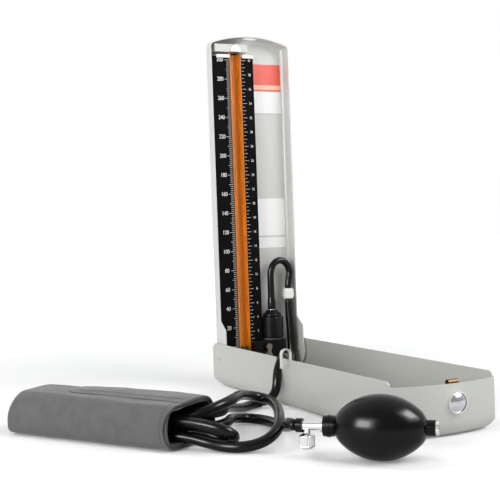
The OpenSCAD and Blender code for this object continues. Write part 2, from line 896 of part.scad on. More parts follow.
// the loop that springs out of the cuff's mouth and lies back into it
loop_pts = [for (p = [
  [hose_in, 30, 20.5], [hose_in + 6, 30, 20.5], [-8, 31, 21],
  [3, 36, 24], [11, 48, 28],
  [11, 64, 30], [5, 80, 29.5], [-3, 96, 27.5], [-8, 111, 25],
  [-6, 124, 22], [3, 128, 19.5], [17, 116, 18.5], [37, 89, 18.5],
  [55, 61, 18.5], [63, 46, 13], [59, 37, 7.5], [53, 30, 4.8],
  [45, 23, 4.3], [31, 21, 4.3], [17, 23.5, 5], [3, 20, 8.8],
  [-8, 16, 9.6], [hose_in + 6, 15, 9.5], [hose_in, 15, 9.5]
]) by_cuff(p)];

// the short fold inside it
fold_pts = [for (p = [
  [hose_in, 17, 21], [-6, 17, 21], [15, 18, 19.8], [29, 20, 17.5],
  [37, 25, 14], [36, 31, 9.5], [28, 37, 5.5], [16, 41, 4.8],
  [3, 38, 8.8], [-8, 33, 9.8], [hose_in + 6, 31, 9.8], [hose_in, 31, 9.8]
]) by_cuff(p)];

// from the cuff across the table and up to the release valve
bulb_pts = concat(
  [for (p = [
    [hose_in, 42, 10.5], [hose_in + 6, 42, 10.5], [-8, 42.5, 10.5],
    [2, 47.5, 11], [6.5, 57, 11.5], [4, 68, 11.5],
    [-4, 82, 10.5], [-12, 98, 8], [-14, 112, 5.5], [-7, 120, 4.3],
    [7, 118, 4.2], [21, 109, 4.4], [35, 96, 6], [47, 83, 8.5],
    [59, 70, 12.5], [71, 55, 17.5]
  ]) by_cuff(p)],
  [
    [-122.5, -153, 20.5], [-127.8, -160.5, 22], [-130, -166, 22.5],
    by_bulb(hose_x - 3), by_bulb(hose_x - seat)
  ]
);

module hinge_hose() {
  color("black") tube(gauge_path, hose_r, 10, 0, hinge_end);
}

module sill_hose() {
  color("black") tube(gauge_path, hose_r, 10, hinge_end, sill_end);
}

module gauge_hose() {
  color("black") tube(gauge_path, hose_r, 10, sill_end, len(gauge_path) - 1);
}

module whole_tube(pts) {
  path = route(pts, 2);
  color("black") tube(path, hose_r, 10, 0, len(path) - 1);
}

module cuff_hose_loop() {
  whole_tube(loop_pts);
}

module cuff_hose_fold() {
  whole_tube(fold_pts);
}

module bulb_hose() {
  whole_tube(bulb_pts);
}

// ---- cuff: cloth rolled up flat, in two turns round the folded bladder ----
turn_gap = 0.4;
near_r = 7;
far_r = 13;

// end view of the roll drawn in by t
module roll_outline(t) {
  w = cuff_w - 2 * t;
  h = cuff_t - 2 * t;
  translate([t, t])
    difference() {
      square([w, h]);
      round_off(near_r - t);
      translate([0, h]) mirror([0, 1]) round_off(near_r - t);
      translate([w, 0]) mirror([1, 0]) round_off(far_r - t);
      translate([w, h]) rotate(180) round_off(far_r - t);
    }
}

module on_cuff() {
  translate(cuff_at) rotate([0, 0, cuff_turn]) rotate([90, 0, 90]) children();
}

module cuff_roll() {
  ply = (layer_t - turn_gap) / 2;
  color("dimgray")
    on_cuff() translate([0, 0, -cuff_l]) linear_extrude(cuff_l) {
      difference() {
        roll_outline(0);
        roll_outline(ply);
      }
      difference() {
        roll_outline(ply + turn_gap);
        roll_outline(layer_t);
      }
      // where the outer turn steps down to the inner one
      translate([near_r + 4, cuff_t - layer_t]) square([5, layer_t - ply / 2]);
    }
}

module cuff_bladder() {
  inset = layer_t + 0.3;
  color("black")
    on_cuff() translate([0, 0, 2 - cuff_l]) linear_extrude(cuff_l - 2 + hose_in - 0.3)
      roll_outline(inset);
}

// ---- bulb and release valve, along one axis ----
neck_l = 10;
neck_d = 14.4;
tail_d = 11;
tail_l = 8;
body_d = 6.4;
knob_x = -51.2;
screw_r = 1.6;
knob_l = 11;
module on_bulb() {
  translate(bulb_at) rotate([0, 0, bulb_turn]) children();
}

// oval of half length a and half width b from four arcs, end arcs of radius e
module oval(a, b, e) {
  d = a - e;
  f = b - e;
  c = (d * d - f * f) / (2 * f);
  for (s = [-1, 1]) translate([s * d, 0]) circle(e);
  for (m = [0, 1]) mirror([0, m])
    intersection() {
      translate([0, -c]) circle(b + c, $fn = 120);
      polygon([[0, -c], [4 * d, 3 * c], [0, 4 * b], [-4 * d, 3 * c]]);
    }
}

// profile turned about the bulb's own axis, x along it
module turned() {
  rotate([0, 90, 0]) rotate_extrude()
    rotate(90)
      intersection() {
        children();
        translate([-big, 0]) square([2 * big, big]);
      }
}

module bulb() {
  a = bulb_l / 2;
  e = bulb_d * 0.36;
  neck_x = -a - neck_l + 3;
  color("black")
    on_bulb() turned()
      difference() {
        union() {
          oval(a, bulb_d / 2, e);
          // neck that grips the valve, with two ribs, and tail
          translate([neck_x, 0]) square([neck_l + 3, neck_d / 2 - 1]);
          for (x = [0, neck_l - 5]) translate([neck_x + x, 0]) square([2.4, neck_d / 2]);
          translate([a - 3, 0]) square([tail_l, tail_d / 2]);
        }
        oval(a - bulb_wall, bulb_d / 2 - bulb_wall, e - bulb_wall);
        // bores for the valve's spigot and the inlet valve
        translate([neck_x - 1, -9]) square([neck_l + 9, 9 + body_d / 2 - 0.6]);
        translate([a - 9, -9]) square([20, 9 + 3.2]);
      }
}

module bulb_collar() {
  color("dimgray")
    on_bulb() turned()
      translate([-bulb_l / 2 - neck_l + 5.6, neck_d / 2 - 0.95]) square([2.2, 1.4]);
}

module inlet_valve() {
  a = bulb_l / 2;
  color("silver")
    on_bulb() turned()
      difference() {
        union() {
          translate([a - 6, 0]) square([tail_l + 3 + 0.05, 3.15]);
          translate([a - 3 + tail_l, 0]) square([2.2, 4.6]);
        }
        translate([a - 9, -9]) square([30, 9 + 1]);
      }
}

module hose_ferrule() {
  color("dimgray")
    on_bulb() turned()
      difference() {
        translate([hose_x, 0]) square([4.6, hose_d / 2 + 0.9]);
        translate([hose_x - 1, -9]) square([9, 9 + 1.2]);
      }
}

module valve_body() {
  x0 = hose_x + 4.6;
  x1 = -bulb_l / 2 - neck_l + 3;
  color("silver")
    on_bulb()
      difference() {
        union() {
          turned() {
            translate([x0, 0]) square([x1 - x0, body_d / 2]);
            // spigot held in the bulb's neck
            translate([x1 - 1, 0]) square([9, body_d / 2 - 0.7]);
            translate([x1 - 2, 0]) square([2, body_d / 2 + 1.2]);
          }
          // side boss for the thumb screw
          translate([knob_x, 0, -5]) cylinder(r = screw_r + 1, h = 5);
        }
        rod_x(1.2, x0 - 1, x1 + 12);
        translate([knob_x, 0, -9]) cylinder(r = screw_r, h = 9);
      }
}

// knurled thumb screw that lets the air out
module thumb_wheel() {
  flutes = 20;
  color("silver")
    on_bulb()
      translate([knob_x, 0, 0]) {
        translate([0, 0, -9]) cylinder(r = screw_r - run, h = 7);
        translate([0, 0, -5.3 - knob_l])
          difference() {
            cylinder(d = wheel_d, h = knob_l);
            for (i = [0 : flutes - 1]) rotate(360 * i / flutes)
              translate([wheel_d / 2 + 0.25, 0, 1.5]) cylinder(r = 0.6, h = knob_l - 3, $fn = 16);
          }
      }
}

tray();
hose_hook();
pivot_rivets();
pivot_washers();
latch_bezel();
latch_button();
latch_foot();
latch_leaf();
lid_shell();
scale_board();
amber_channel();
glass_tube();
mercury_column();
tube_seat();
tube_bung();
top_bracket();
tube_clip();
board_blocks();
valve_block();
valve_spindle();
spindle_nut();
block_screws();
pot_gasket();
reservoir_pot();
mercury_pool();
reservoir_cap();
hose_nipple();
lid_hose();
hose_coupling();
hinge_hose();
sill_hose();
gauge_hose();
cuff_hose_loop();
cuff_hose_fold();
bulb_hose();
cuff_roll();
cuff_bladder();
hose_ferrule();
valve_body();
thumb_wheel();
bulb_collar();
bulb();
inlet_valve();
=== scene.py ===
import bpy
import json
import math
from mathutils import Matrix, Vector


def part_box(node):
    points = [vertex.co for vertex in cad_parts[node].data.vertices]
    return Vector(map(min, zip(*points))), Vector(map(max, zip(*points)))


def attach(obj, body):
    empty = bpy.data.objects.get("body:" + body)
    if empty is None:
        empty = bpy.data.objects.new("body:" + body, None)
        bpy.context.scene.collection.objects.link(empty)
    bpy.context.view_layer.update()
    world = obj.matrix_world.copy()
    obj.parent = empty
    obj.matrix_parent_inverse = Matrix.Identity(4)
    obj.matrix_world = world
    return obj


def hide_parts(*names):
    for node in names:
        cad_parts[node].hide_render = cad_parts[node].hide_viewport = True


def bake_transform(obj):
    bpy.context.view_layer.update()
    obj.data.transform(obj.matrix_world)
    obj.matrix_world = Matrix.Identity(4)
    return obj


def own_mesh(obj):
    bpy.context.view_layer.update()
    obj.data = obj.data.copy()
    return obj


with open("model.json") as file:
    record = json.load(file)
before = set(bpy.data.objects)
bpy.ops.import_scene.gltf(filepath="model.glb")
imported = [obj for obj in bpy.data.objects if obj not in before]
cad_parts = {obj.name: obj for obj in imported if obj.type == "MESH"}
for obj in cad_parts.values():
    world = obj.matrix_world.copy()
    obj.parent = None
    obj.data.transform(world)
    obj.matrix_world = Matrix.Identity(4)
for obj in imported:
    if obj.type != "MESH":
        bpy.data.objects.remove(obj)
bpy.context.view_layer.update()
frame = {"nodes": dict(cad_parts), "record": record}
nodes = frame["nodes"]

MM = 0.001

# ---------------------------------------------------------------- camera, fitted to the photograph
EYE = (-0.4336, -0.7773, 0.1565)
YAW, PITCH, ROLL = map(math.radians, (24.62, 1.0, -2.05))
look = Vector((math.sin(YAW) * math.cos(PITCH), math.cos(YAW) * math.cos(PITCH), -math.sin(PITCH)))
level = Vector((math.cos(YAW), -math.sin(YAW), 0))
above = level.cross(look)
right = level * math.cos(ROLL) + above * math.sin(ROLL)
top = above * math.cos(ROLL) - level * math.sin(ROLL)
cam = bpy.data.objects.new("camera", bpy.data.cameras.new("camera"))
bpy.context.scene.collection.objects.link(cam)
cam.data.lens, cam.data.sensor_width = 70.87, 36.0
cam.data.clip_start, cam.data.clip_end = 0.02, 30
cam.matrix_world = Matrix((
    (right.x, top.x, -look.x, EYE[0]),
    (right.y, top.y, -look.y, EYE[1]),
    (right.z, top.z, -look.z, EYE[2]),
    (0, 0, 0, 1)))
bpy.context.scene.camera = cam

# ---------------------------------------------------------------- materials
BUMP_HEIGHT = 0.0002      # of grain and of weave, in metres
BAND_SPACING = 0.314      # of a wave texture at scale 1, in metres


def add(tree, kind, inputs=None, **settings):
    """New shader node with its settings, then with values for its inputs."""
    node = tree.nodes.new("ShaderNode" + kind)
    for key, value in settings.items():
        setattr(node, key, value)
    for key, value in (inputs or {}).items():
        node.inputs[key].default_value = value
    return node


def shader(name, base, rough, metallic=0.0, spots=0.05, spot_scale=40.0, grain=0.1,
           grain_scale=1800.0, wear=0.03, coat=0.0, sheen=0.0, **sockets):
    """Principled material whose colour, roughness and surface vary with noise."""
    m = bpy.data.materials.new(name)
    m.use_nodes = True
    nt = m.node_tree
    bsdf = nt.nodes["Principled BSDF"]
    coord = add(nt, "TexCoord")
    cloud = add(nt, "TexNoise", {"Scale": spot_scale, "Detail": 5})
    nt.links.new(coord.outputs["Object"], cloud.inputs["Vector"])
    ramp = add(nt, "ValToRGB")
    for stop, place, share in zip(ramp.color_ramp.elements, (0.3, 0.7), (1 - spots, 1 + spots)):
        stop.position = place
        stop.color = [min(1, c * share) for c in base] + [1]
    nt.links.new(cloud.outputs["Fac"], ramp.inputs["Fac"])
    nt.links.new(ramp.outputs["Color"], bsdf.inputs["Base Color"])
    vary = add(nt, "MapRange", {"To Min": max(0.0, rough - wear), "To Max": min(1.0, rough + wear)})
    nt.links.new(cloud.outputs["Fac"], vary.inputs["Value"])
    nt.links.new(vary.outputs["Result"], bsdf.inputs["Roughness"])
    fine = add(nt, "TexNoise", {"Scale": grain_scale, "Detail": 3})
    nt.links.new(coord.outputs["Object"], fine.inputs["Vector"])
    bump = add(nt, "Bump", {"Strength": grain, "Distance": BUMP_HEIGHT})
    nt.links.new(fine.outputs["Fac"], bump.inputs["Height"])
    nt.links.new(bump.outputs["Normal"], bsdf.inputs["Normal"])
    bsdf.inputs["Metallic"].default_value = metallic
    bsdf.inputs["Coat Weight"].default_value = coat
    bsdf.inputs["Sheen Weight"].default_value = sheen
    for key, value in sockets.items():
        bsdf.inputs[key.replace("_", " ")].default_value = value
    return m


def woven(name, base, thread=0.0012, depth=0.6):
    """Cloth with threads both ways across the piece's own UV map, in metres."""
    m = shader(name, base, 0.78, spots=0.16, spot_scale=90, grain=0.3, grain_scale=2500,
               sheen=0.35, Sheen_Roughness=0.4)
    nt = m.node_tree
    bsdf = nt.nodes["Principled BSDF"]
    uv = add(nt, "UVMap", uv_map="weave")
    both = add(nt, "Math", operation="MULTIPLY")
    for k, direction in enumerate(("X", "Y")):
        wave = add(nt, "TexWave", {"Scale": BAND_SPACING / thread, "Distortion": 0.25,
                                   "Detail": 2, "Detail Scale": 0.6}, bands_direction=direction)
        nt.links.new(uv.outputs["UV"], wave.inputs["Vector"])
        nt.links.new(wave.outputs["Fac"], both.inputs[k])
    bump = add(nt, "Bump", {"Strength": depth, "Distance": BUMP_HEIGHT})
    grain = bsdf.inputs["Normal"].links[0].from_node
    nt.links.new(both.outputs[0], bump.inputs["Height"])
    nt.links.new(grain.outputs["Normal"], bump.inputs["Normal"])
    nt.links.new(bump.outputs["Normal"], bsdf.inputs["Normal"])
    ramp = bsdf.inputs["Base Color"].links[0].from_node
    mix = add(nt, "Mix", {"Factor": 0.45}, data_type="RGBA", blend_type="MULTIPLY")
    grey = add(nt, "CombineColor")
    for k in range(3):
        nt.links.new(both.outputs[0], grey.inputs[k])
    nt.links.new(ramp.outputs["Color"], mix.inputs["A"])
    nt.links.new(grey.outputs["Color"], mix.inputs["B"])
    nt.links.new(mix.outputs["Result"], bsdf.inputs["Base Color"])
    return m


M = {
    "case_paint": shader("case_paint", (0.485, 0.492, 0.462), 0.42, spots=0.02, spot_scale=18,
                         grain=0.06, grain_scale=900, coat=0.15),
    # painted light: the lid is the case's own paint, lightened here to paint in the stronger light on
    # the upright lid
    "lid_paint_painted_lighter": shader("lid_paint_painted_lighter", (0.62, 0.62, 0.59), 0.42, spots=0.02, spot_scale=18,
                        grain=0.06, grain_scale=900, coat=0.15),
    "bracket_pale": shader("bracket_pale", (0.46, 0.475, 0.45), 0.34, 0.1, spots=0.04, grain=0.05),
    "hook_steel": shader("hook_steel", (0.66, 0.67, 0.65), 0.35, 0.6, grain=0.05),
    "rivet_steel": shader("rivet_steel", (0.60, 0.61, 0.59), 0.38, 0.5),
    "lever_steel": shader("lever_steel", (0.34, 0.30, 0.28), 0.3, 1.0, spots=0.15, spot_scale=200),
    "chrome": shader("chrome", (0.78, 0.77, 0.76), 0.14, 1.0, spots=0.04, spot_scale=300,
                     grain=0.04, wear=0.06),
    "button_chrome": shader("button_chrome", (0.56, 0.56, 0.60), 0.2, 1.0, spots=0.05,
                            spot_scale=200, grain=0.04),
    "leaf_bronze": shader("leaf_bronze", (0.13, 0.07, 0.035), 0.42, 0.7, spots=0.2, spot_scale=200),
    "mercury": shader("mercury", (0.72, 0.73, 0.75), 0.05, 1.0, grain=0.0, wear=0.02),
    "tube_glass": shader("tube_glass", (0.98, 0.99, 0.98), 0.02, spots=0.004, grain=0.0, wear=0.01,
                         Transmission_Weight=1.0, IOR=1.06, Specular_IOR_Level=0.6),
    # painted glow: the amber plastic's faint emission paints in light shining through it
    "amber_plastic": shader("amber_plastic", (0.56, 0.155, 0.003), 0.35, spots=0.04, spot_scale=9,
                            grain=0.015, coat=0.2, Emission_Color=(0.74, 0.22, 0.004, 1),
                            Emission_Strength=0.1),
    "board_paint": shader("board_paint", (0.0035, 0.0035, 0.004), 0.6, spots=0.2, grain=0.05,
                          Specular_IOR_Level=0.03),
    "white_plastic": shader("white_plastic", (0.80, 0.79, 0.74), 0.4, spots=0.03, grain=0.05),
    "black_plastic": shader("black_plastic", (0.004, 0.004, 0.004), 0.25, spots=0.2, grain=0.08,
                            Specular_IOR_Level=0.2),
    "washer_plastic": shader("washer_plastic", (0.25, 0.25, 0.25), 0.5),
    "seal_rubber": shader("seal_rubber", (0.03, 0.03, 0.03), 0.6, spots=0.2),
    "hose_rubber": shader("hose_rubber", (0.004, 0.0035, 0.0035), 0.25, spots=0.25, spot_scale=120,
                          grain=0.05, grain_scale=1500, wear=0.06, Specular_IOR_Level=0.2),
    "bulb_rubber": shader("bulb_rubber", (0.002, 0.002, 0.0025), 0.2, spots=0.25, spot_scale=60,
                          grain=0.06, grain_scale=1200, wear=0.05, Specular_IOR_Level=0.17),
    "bladder_rubber": shader("bladder_rubber", (0.012, 0.012, 0.013), 0.55, spots=0.2),
    "cuff_cloth": woven("cuff_cloth", (0.115, 0.115, 0.12)),
    "cuff_binding": woven("cuff_binding", (0.030, 0.030, 0.032), thread=0.0009, depth=0.7),
    "stitch": shader("stitch", (0.05, 0.05, 0.05), 0.7, spots=0.3),
    "print_white": shader("print_white", (0.80, 0.80, 0.78), 0.5, spots=0.05, spot_scale=500),
    "label_red": shader("label_red", (0.82, 0.09, 0.05), 0.4, spots=0.05, spot_scale=120),
    "label_cream": shader("label_cream", (0.92, 0.50, 0.36), 0.45, spots=0.06),
    "label_white": shader("label_white", (0.88, 0.88, 0.87), 0.45, spots=0.02),
    "label_grey": shader("label_grey", (0.55, 0.52, 0.51), 0.45, spots=0.06),
}

# nodes whose look differs from that of their material slot
OWN = {"lid_shell": "lid_paint_painted_lighter", "top_bracket": "bracket_pale", "tube_clip": "white_plastic",
       "valve_spindle": "lever_steel", "latch_button": "button_chrome", "pivot_rivets": "case_paint"}
slot_of = {s["node"]: s["material_slot"] for s in frame["record"]["subparts"]}
for name, obj in nodes.items():
    obj.data.materials.clear()
    obj.data.materials.append(M[OWN.get(name, slot_of[name])])


# ---------------------------------------------------------------- mesh helpers
def new_mesh(name, verts, faces, material, body, smooth=True, uvs=None, materials=(), index=None):
    """Mesh object in metres; uvs go by vertex, and index picks each face's material."""
    me = bpy.data.meshes.new(name)
    me.from_pydata(verts, [], faces)
    me.materials.append(M[material])
    for extra in materials:
        me.materials.append(M[extra])
    if index:
        me.polygons.foreach_set("material_index", index)
    if uvs:
        layer = me.uv_layers.new(name="weave")
        for poly in me.polygons:
            for li in poly.loop_indices:
                layer.data[li].uv = uvs[me.loops[li].vertex_index]
    me.polygons.foreach_set("use_smooth", [smooth] * len(me.polygons))
    me.update()
    ob = bpy.data.objects.new(name, me)
    bpy.context.scene.collection.objects.link(ob)
    if body:
        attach(ob, body)
    return ob


def skin(rows, sides, clockwise=False):
    """Faces round and between rows of vertices, with a cap at either end."""
    faces = []
    for i in range(rows - 1):
        for j in range(sides):
            a, b = i * sides + j, i * sides + (j + 1) % sides
            faces.append((a, a + sides, b + sides, b) if clockwise else (a, b, b + sides, a + sides))
    first, last = range(sides), range((rows - 1) * sides, rows * sides)
    caps = (first, last[::-1]) if clockwise else (first[::-1], last)
    return faces + [tuple(cap) for cap in caps]


def spline(points, steps=8):
    """Catmull-Rom curve through points in millimetres, given in metres."""
    p = [Vector(q) * MM for q in points]
    p = [p[0]] + p + [p[-1]]
    out = []
    for a, b, c, d in zip(p, p[1:], p[2:], p[3:]):
        for k in range(steps):
            t = k / steps
            out.append(0.5 * (2 * b + (c - a) * t + (2 * a - 5 * b + 4 * c - d) * t * t
                              + (3 * b - a - 3 * c + d) * t ** 3))
    return out + [p[-1]]


def run_of(path):
    """Length along the path at each of its points."""
    run = [0.0]
    for a, b in zip(path, path[1:]):
        run.append(run[-1] + (b - a).length)
    return run


def relaxed(path, step=0.002, rounds=16):
    """The same path in even steps, its small kinks eased out, both ends kept."""
    run = run_of(path)
    count = max(8, round(run[-1] / step))
    out, i = [], 0
    for k in range(count + 1):
        s = run[-1] * k / count
        while i < len(run) - 2 and run[i + 1] < s:
            i += 1
        f = (s - run[i]) / max(1e-9, run[i + 1] - run[i])
        out.append(path[i].lerp(path[i + 1], min(1.0, f)))
    for _ in range(rounds):
        mid = [(a + c) / 2 for a, c in zip(out, out[2:])]
        out = [out[0]] + [b.lerp(m, 0.5) for b, m in zip(out[1:-1], mid)] + [out[-1]]
    return out


# ---------------------------------------------------------------- hoses
HOSE_R = 4.0 * MM
HINGE = [(35, 152, 85.7), (35, 152, 72), (35, 150, 52), (35, 149, 36), (34, 145, 22), (30, 136, 11)]
SILL = [(24, 124, 6), (17, 112, 5.4), (6, 95, 5.4), (-7, 74, 8), (-19, 54, 18), (-28, 38, 31),
        (-35, 25, 41), (-40.5, 16.5, 44.5), (-45, 13.6, 41), (-48.3, 12.6, 34.5), (-51.4, 9.5, 28),
        (-52.6, 6.5, 21.5), (-53.5, 8, 14), (-56, 12.5, 8)]
# the cuff's own axes start at the near lower corner of its mouth: out of the mouth, then across it
CUFF_AT, CUFF_TURN = Vector((-198, -114, 0.2)), math.radians(-57.9)
CUFF_A = Vector((math.cos(CUFF_TURN), math.sin(CUFF_TURN), 0))
CUFF_N = Vector((-math.sin(CUFF_TURN), math.cos(CUFF_TURN), 0))
HOSE_IN = -24             # where the hoses end inside the cuff
BULB_AT, BULB_TURN = Vector((-82, -211, 22.5)), math.radians(-41.3)
BULB_AXIS = Vector((math.cos(BULB_TURN), math.sin(BULB_TURN), 0))


def by_cuff(p):
    """Point given as out of the cuff's mouth, across the cuff and height."""
    q = CUFF_AT + p[0] * CUFF_A + p[1] * CUFF_N
    return (q.x, q.y, p[2])


def by_bulb(x):
    """Point on the bulb's axis."""
    return tuple(BULB_AT + x * BULB_AXIS)


GAUGE = [(-61.5, 17.5, 4.6), (-69, 18.5, 4.2), (-77, 14, 4.2), (-85, 7, 4.4)] + [by_cuff(p) for p in [
    (-39, 148, 6), (-31, 122, 11), (-22, 103, 15), (-11, 85, 19), (0, 68, 20.5), (5, 55, 21.5),
    (-1, 45.5, 21.5), (-11, 41.5, 21.5), (HOSE_IN + 5, 41.5, 21.5), (HOSE_IN, 41.5, 21.5)]]
LOOP = [by_cuff(p) for p in [
    (HOSE_IN, 30, 20.5), (HOSE_IN + 6, 30, 20.5), (-8, 31, 21), (3, 36, 24), (11, 48, 28),
    (11, 64, 30), (5, 80, 29.5), (-3, 96, 27.5), (-8, 111, 25), (-6, 124, 22), (3, 128, 19.5),
    (17, 116, 18.5), (37, 89, 18.5), (55, 61, 18.5), (63, 46, 13), (59, 37, 7.5), (53, 30, 4.8),
    (45, 23, 4.3), (31, 21, 4.3), (17, 23.5, 5), (3, 20, 8.8), (-8, 16, 9.6),
    (HOSE_IN + 6, 15, 9.5), (HOSE_IN, 15, 9.5)]]
FOLD = [by_cuff(p) for p in [
    (HOSE_IN, 17, 21), (-6, 17, 21), (15, 18, 19.8), (29, 20, 17.5), (37, 25, 14), (36, 31, 9.5),
    (28, 37, 5.5), (16, 41, 4.8), (3, 38, 8.8), (-8, 33, 9.8), (HOSE_IN + 6, 31, 9.8),
    (HOSE_IN, 31, 9.8)]]
BULB = [by_cuff(p) for p in [
    (HOSE_IN, 42, 10.5), (HOSE_IN + 6, 42, 10.5), (-8, 42.5, 10.5), (2, 47.5, 11), (6.5, 57, 11.5),
    (4, 68, 11.5), (-4, 82, 10.5), (-12, 98, 8), (-14, 112, 5.5), (-7, 120, 4.3), (7, 118, 4.2),
    (21, 109, 4.4), (35, 96, 6), (47, 83, 8.5), (59, 70, 12.5), (71, 55, 17.5)]]
BULB += [(-122.5, -153, 20.5), (-127.8, -160.5, 22), (-130, -166, 22.5), by_bulb(-61.5), by_bulb(-58.6)]
# up out of the reservoir, half an ellipse over, and down to the white coupling
ARCH = [(15.4, 153, 75.7), (15.4, 153, 85)]
ARCH += [(26.7 + 11.3 * math.cos(math.radians(a)), 153, 112 + 15.0 * math.sin(math.radians(a)))
         for a in range(180, -1, -30)]
ARCH += [(35.4, 152, 103.6), (35, 152, 99.6), (35, 152, 96.7)]


def hose(name, path, body, radius=lambda share: HOSE_R, sides=24, lip=0.0006):
    """Round rubber hose; radius goes by the share of its length, and a lip rounds its cut ends."""
    n = len(path)
    run = run_of(path)
    dirs = [(path[min(i + 1, n - 1)] - path[max(i - 1, 0)]).normalized() for i in range(n)]
    side = Vector((1, 0, 0)) if abs(dirs[0].z) > 0.7 else Vector((0, 0, 1))
    verts, uvs = [], []
    for i in range(n):
        side = (side - side.dot(dirs[i]) * dirs[i]).normalized()
        other = dirs[i].cross(side)
        r = radius(run[i] / run[-1])
        if i in (0, n - 1):
            r -= lip
        for j in range(sides):
            a = 2 * math.pi * j / sides
            verts.append(path[i] + r * (math.cos(a) * side + math.sin(a) * other))
            uvs.append((run[i], a * r))
    return new_mesh(name, verts, skin(n, sides), "hose_rubber", body, uvs=uvs)


# the gauge hose is one route in three stretches: past the hinge, under the lid, outside the case
whole = relaxed(spline(HINGE + SILL + GAUGE))


def nearest(q):
    return min(range(len(whole)), key=lambda i: (whole[i] - Vector(q) * MM).length)


hinge_end, sill_end = nearest(SILL[0]), nearest(GAUGE[0])
for name, path in (("gauge_hose", whole[sill_end:]),
                   ("cuff_hose_loop", relaxed(spline(LOOP), rounds=40)),
                   ("cuff_hose_fold", relaxed(spline(FOLD))),
                   ("bulb_hose", relaxed(spline(BULB), rounds=30))):
    piece = hose(name + "_rubber", path, "base")
    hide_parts(name)

# the stretches past the hinge and under the lid, which a closing lid bends and presses down; here they
# stay as they lie
piece = hose("hinge_hose_rubber", whole[:hinge_end + 1], None)
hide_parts("hinge_hose")
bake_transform(piece)
piece = hose("sill_hose_rubber", whole[hinge_end:sill_end + 1], "base")
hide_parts("sill_hose")
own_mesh(piece)


def booted(share):
    """Radius of the thinner hose in the lid, whose start is a boot over the reservoir's nipple."""
    return (3.5 + 0.75 * max(0.0, min(1.0, (0.13 - share) / 0.06))) * MM


piece = hose("lid_hose_rubber", relaxed(spline(ARCH), 0.0015, 10), "lid", booted)
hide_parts("lid_hose")


# ---------------------------------------------------------------- turned pieces
def turned(name, profile, at, axis, material, body, sides=96, flutes=0, depth=0.0, band=(0, 0)):
    """Profile of (height, radius) turned about an axis; flutes are cut in the band of heights."""
    axis = Vector(axis)
    side = Vector((0, 0, 1)).cross(axis) if abs(axis.z) < 0.9 else Vector((1, 0, 0))
    other = axis.cross(side)
    verts, uvs = [], []
    for h, r in profile:
        fluted = flutes and band[0] <= h <= band[1]
        for j in range(sides):
            a = 2 * math.pi * j / sides
            cut = depth * (0.5 - 0.5 * math.cos(flutes * a)) if fluted else 0.0
            q = Vector(at) + h * axis + (r - cut) * (math.cos(a) * side + math.sin(a) * other)
            verts.append(q * MM)
            uvs.append((a * r * MM, h * MM))
    return new_mesh(name, verts, skin(len(profile), sides), material, body, uvs=uvs)


def eased(points, r, n=4):
    """Profile with each corner rounded by r in n steps."""
    out = [points[0]]
    for a, b, c in zip(points, points[1:], points[2:]):
        a, b, c = Vector(a), Vector(b), Vector(c)
        u, w = (a - b), (c - b)
        k = min(r, 0.45 * u.length, 0.45 * w.length)
        p, q = b + u.normalized() * k, b + w.normalized() * k
        for i in range(n + 1):
            t = i / n
            out.append(tuple(p * (1 - t) ** 2 + b * 2 * t * (1 - t) + q * t * t))
    return out + [points[-1]]


def upright(name):
    """A node's middle x and y, bottom, top and half width."""
    low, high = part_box(name)
    return ((low[0] + high[0]) * 500, (low[1] + high[1]) * 500, low[2] * 1000, high[2] * 1000,
            (high[0] - low[0]) * 500)


# the reservoir's cap: a plain skirt, a rim with a groove, and a cone up to a small collar
x, y, z0, z1, rim = upright("reservoir_cap")
skirt = z1 - 7.3
cap = eased([(z0, 6.5), (z0, 8.0), (skirt, 8.0), (skirt, rim - 0.5), (skirt + 0.5, rim),
             (skirt + 1.9, rim), (skirt + 2.1, rim - 0.45), (skirt + 2.5, rim - 0.45),
             (skirt + 2.7, rim - 0.1), (skirt + 3.2, rim - 0.5), (skirt + 6.0, 5.6),
             (skirt + 6.2, 5.9), (skirt + 6.9, 5.9), (skirt + 7.3, 5.5), (skirt + 7.3, 1.0)], 0.3)
piece = turned("reservoir_cap_cone", [(h - z0, r) for h, r in cap], (x, y, z0), (0, 0, 1),
               "black_plastic", "lid")
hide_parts("reservoir_cap")

# the thumb screw: a fluted head with a round end below, and a plain shank above
x, y, z0, z1, rim = upright("thumb_wheel")
HEAD = 11
knob = [(0.0, 1.4), (0.1, 2.6), (0.5, 3.9), (1.2, 4.9), (2.1, rim - 0.15), (2.3, rim), (2.5, rim)]
knob += [(2.5 + 0.5 * i, rim) for i in range(1, 14)]
knob += [(HEAD - 1.8, rim - 0.1), (HEAD - 1.1, rim - 0.9), (HEAD - 0.4, 3.2), (HEAD, 2.0),
         (HEAD, 1.45), (z1 - z0, 1.45), (z1 - z0, 0.4)]
piece = turned("thumb_knob_knurled", knob, (x, y, z0), (0, 0, 1), "chrome", "wheel",
               sides=192, flutes=24, depth=0.45, band=(2.4, 9.1))
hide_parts("thumb_wheel")

# two small rivets beside the hose slit
DOME = [(-0.2, 0.9), (0.0, 0.9), (0.12, 0.8), (0.24, 0.5), (0.28, 0.15)]
for k, z in enumerate((41.3, 36.6)):
    turned("wall_rivet_%d" % k, DOME, (-49.0, 44.4, z), (-1, 0, 0), "rivet_steel", "base", sides=32)

# ---------------------------------------------------------------- rolled cuff
CUFF_L, CUFF_W, CUFF_T = 166.0, 58.0, 33.5
NEAR_R, FAR_R = 7.0, 13.0                # the end view's corners on the near and the far side
LEAN, RISE = 15.0, 2.6                   # of the front and of the top, at most
PINCH = 6.0                              # length of the closed end that is drawn in
SEED = 1.3                               # of the outer ply's ripples, which flap and seams share


